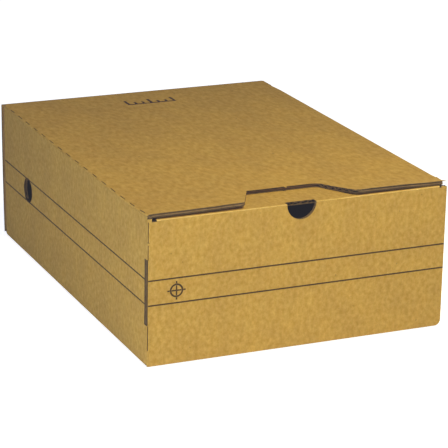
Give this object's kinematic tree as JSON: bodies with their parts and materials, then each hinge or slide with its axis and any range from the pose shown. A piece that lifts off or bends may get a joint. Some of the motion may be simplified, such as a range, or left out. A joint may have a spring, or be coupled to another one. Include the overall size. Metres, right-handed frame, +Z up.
{
  "type": "archival box",
  "caption": "Folded corrugated-board document box with a hinged lid, a side-hinged front door with a tuck tongue, thumb notch and finger hole.",
  "frame": {"origin": "centre of the bottom face that the box lies on", "axes": "+X from the spine to the right wall, +Y from the front door to the back wall, +Z up"},
  "size_m": [0.255, 0.35, 0.12],
  "materials": {
    "kraft_board": "matt"
  },
  "bodies": {
    "box_body": {"bottom_panel": "kraft_board", "spine_panel": "kraft_board", "right_wall": "kraft_board", "back_wall": "kraft_board", "inner_front_wall": "kraft_board", "spine_back_ear": "kraft_board", "right_wall_back_ear": "kraft_board", "right_wall_front_ear": "kraft_board"},
    "lid": {"lid_panel": "kraft_board"},
    "tuck_flap": {"lid_tuck_flap": "kraft_board"},
    "door": {"front_door": "kraft_board"},
    "tongue": {"door_tongue": "kraft_board"}
  },
  "joints": [
    {"name": "lid_hinge", "type": "hinge", "parent": "box_body", "child": "lid", "pos_m": [-0.1275, 0, 0.12], "axis": [0, -1, 0], "range_deg": [0, 175]},
    {"name": "tuck_fold", "type": "hinge", "parent": "lid", "child": "tuck_flap", "pos_m": [0.121, 0, 0.1168], "axis": [0, 1, 0], "range_deg": [0, 55]},
    {"name": "door_hinge", "type": "hinge", "parent": "box_body", "child": "door", "pos_m": [-0.1275, -0.175, 0.06], "axis": [0, 0, -1], "range_deg": [0, 175]},
    {"name": "tongue_fold", "type": "hinge", "parent": "door", "child": "tongue", "pos_m": [0, -0.172, 0.1138], "axis": [-1, 0, 0], "range_deg": [0, 60]}
  ]
}
